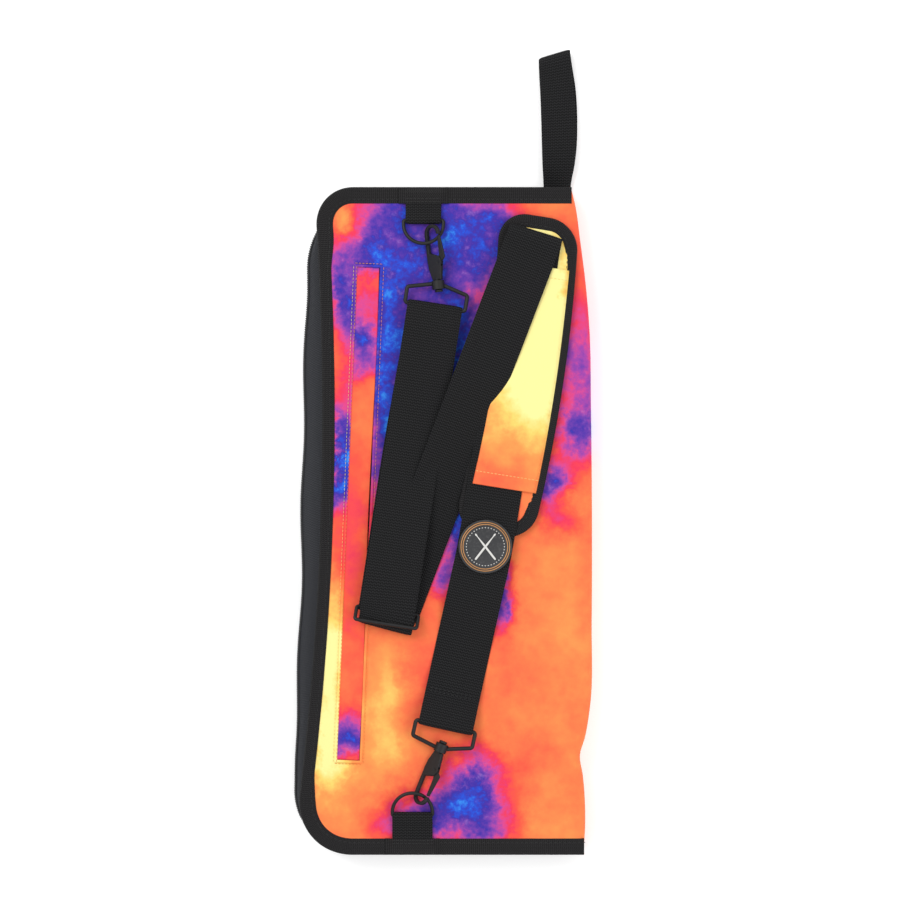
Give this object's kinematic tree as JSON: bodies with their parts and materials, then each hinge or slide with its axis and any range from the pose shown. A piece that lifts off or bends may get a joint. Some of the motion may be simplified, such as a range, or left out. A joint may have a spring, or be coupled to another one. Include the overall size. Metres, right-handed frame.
{
  "type": "drum stick bag",
  "caption": "Flat padded stick bag with a bound zip edge, printed face, slim outer pocket, hang loop and a clip-on webbing shoulder strap with sliding pad.",
  "frame": {"origin": "middle of the back half's flat face, which lies on the surface", "axes": "+X across the bag to the spine, +Y up the bag towards the hang loop, +Z out of the printed front face"},
  "size_m": [0.2062, 0.5599, 0.0408],
  "materials": {
    "printed_fabric": "woven polyester with a blurred multicolour print",
    "foam": "soft foam padding",
    "lining": "smooth nylon lining",
    "binding_tape": "ribbed grosgrain tape",
    "zip_tape": "fine twill tape",
    "zip_coil": "nylon coil",
    "webbing": "ribbed polypropylene webbing",
    "black_metal": "satin black coating",
    "spring_steel": "bright",
    "badge_rubber": "soft matt rubber",
    "badge_copper": "copper coloured inlay",
    "facing_fabric": "folded edge of the print"
  },
  "bodies": {
    "back": {"back_shell": "printed_fabric", "back_foam": "foam", "back_lining": "lining", "back_binding": "binding_tape", "back_zip_tape": "zip_tape", "back_zip_coil": "zip_coil", "zip_end_stops": "zip_coil", "stick_pocket": "lining", "stick_pocket_hem": "binding_tape", "hang_loop_root": "webbing"},
    "spine": {"spine_shell": "printed_fabric", "spine_foam": "foam"},
    "front": {"front_shell": "printed_fabric", "front_foam": "foam", "front_lining": "lining", "front_binding": "binding_tape", "front_zip_tape": "zip_tape", "front_zip_coil": "zip_coil", "pocket_facing": "facing_fabric", "pocket_lip_foot": "printed_fabric", "pocket_bag": "lining", "top_ring_tab": "webbing", "bottom_ring_tab": "webbing", "top_strap_loop": "black_metal", "bottom_strap_loop": "black_metal", "strap_lower_run": "webbing", "strap_top_fold": "webbing", "strap_bottom_fold": "webbing", "strap_middle_run": "webbing", "strap_upper_run": "webbing", "badge_base": "badge_rubber", "badge_ring": "badge_copper"},
    "zip_slider": {"zip_slider": "black_metal"},
    "zip_pull": {"zip_pull": "black_metal"},
    "top_hook": {"top_hook": "black_metal", "top_gate_rivet": "black_metal", "top_gate_spring": "spring_steel"},
    "top_gate": {"top_gate": "black_metal"},
    "bottom_hook": {"bottom_hook": "black_metal", "bottom_gate_rivet": "black_metal", "bottom_gate_spring": "spring_steel"},
    "bottom_gate": {"bottom_gate": "black_metal"},
    "top_d_ring": {"top_d_ring": "black_metal"},
    "bottom_d_ring": {"bottom_d_ring": "black_metal"},
    "pad": {"pad_core": "webbing", "pad_base": "lining", "pad_binding": "binding_tape", "pad_sleeve": "printed_fabric"},
    "strap_adjuster": {"strap_adjuster": "black_metal", "strap_tail": "webbing"},
    "hang_loop": {"hang_loop": "webbing"},
    "pocket_lip": {"pocket_lip": "printed_fabric"}
  },
  "joints": [
    {"name": "spine_fold", "type": "hinge", "parent": "back", "child": "spine", "pos_m": [0.097, 0, 0.003], "axis": [0, 1, 0], "range_deg": [0, 90]},
    {"name": "cover_fold", "type": "hinge", "parent": "spine", "child": "front", "pos_m": [0.097, 0, 0.025], "axis": [0, 1, 0], "range_deg": [0, 90]},
    {"name": "slider_travel", "type": "slide", "parent": "back", "child": "zip_slider", "axis": [-1, 0, 0], "range_m": [0, 0.125]},
    {"name": "pull_swing", "type": "hinge", "parent": "zip_slider", "child": "zip_pull", "pos_m": [0.072, -0.2304, 0.014], "axis": [0, 0, 1], "range_deg": [0, 160]},
    {"name": "hang_loop_fold", "type": "hinge", "parent": "back", "child": "hang_loop", "pos_m": [0.077, 0.2385, 0.003], "axis": [1, 0, 0], "range_deg": [0, 90]},
    {"name": "pad_slide", "type": "slide", "parent": "front", "child": "pad", "axis": [0.1571, 0.9876, 0], "range_m": [0, 0.015]},
    {"name": "adjuster_slide", "type": "slide", "parent": "front", "child": "strap_adjuster", "axis": [0.153, 0.9882, 0], "range_m": [0, 0.04]},
    {"name": "pocket_lip_lift", "type": "hinge", "parent": "front", "child": "pocket_lip", "pos_m": [-0.07584, -0.1667, 0.028], "axis": [-0.0412, -0.9991, 0], "range_deg": [0, 60]},
    {"name": "top_ring_swing", "type": "hinge", "parent": "front", "child": "top_d_ring", "pos_m": [-0.0166, 0.20735, 0.0307], "axis": [-1, 0, 0], "range_deg": [-2, 0]},
    {"name": "top_hook_swivel", "type": "hinge", "parent": "front", "child": "top_hook", "pos_m": [-0.00673, 0.1659, 0.034], "axis": [-0.1132, 0.9936, 0], "range_deg": [-4, 3]},
    {"name": "top_gate_press", "type": "hinge", "parent": "top_hook", "child": "top_gate", "pos_m": [-0.00576, 0.17809, 0.03618], "axis": [-0.6776, -0.0772, 0.7314], "range_deg": [0, 6], "stiffness_Nm_per_rad": 0.008, "springref_deg": -5.73},
    {"name": "bottom_ring_swing", "type": "hinge", "parent": "front", "child": "bottom_d_ring", "pos_m": [-0.0242, -0.20305, 0.0307], "axis": [1, 0, 0], "range_deg": [-2, 1]},
    {"name": "bottom_hook_swivel", "type": "hinge", "parent": "front", "child": "bottom_hook", "pos_m": [-0.00573, -0.159, 0.034], "axis": [-0.3746, -0.9272, 0], "range_deg": [-4, 4]},
    {"name": "bottom_gate_press", "type": "hinge", "parent": "bottom_hook", "child": "bottom_gate", "pos_m": [-0.00809, -0.17099, 0.03622], "axis": [0.6441, -0.2602, -0.7193], "range_deg": [0, 16], "stiffness_Nm_per_rad": 0.008, "springref_deg": -5.73}
  ],
  "couplings": [
    {"joint": "cover_fold", "follows": "spine_fold", "ratio": 1}
  ]
}
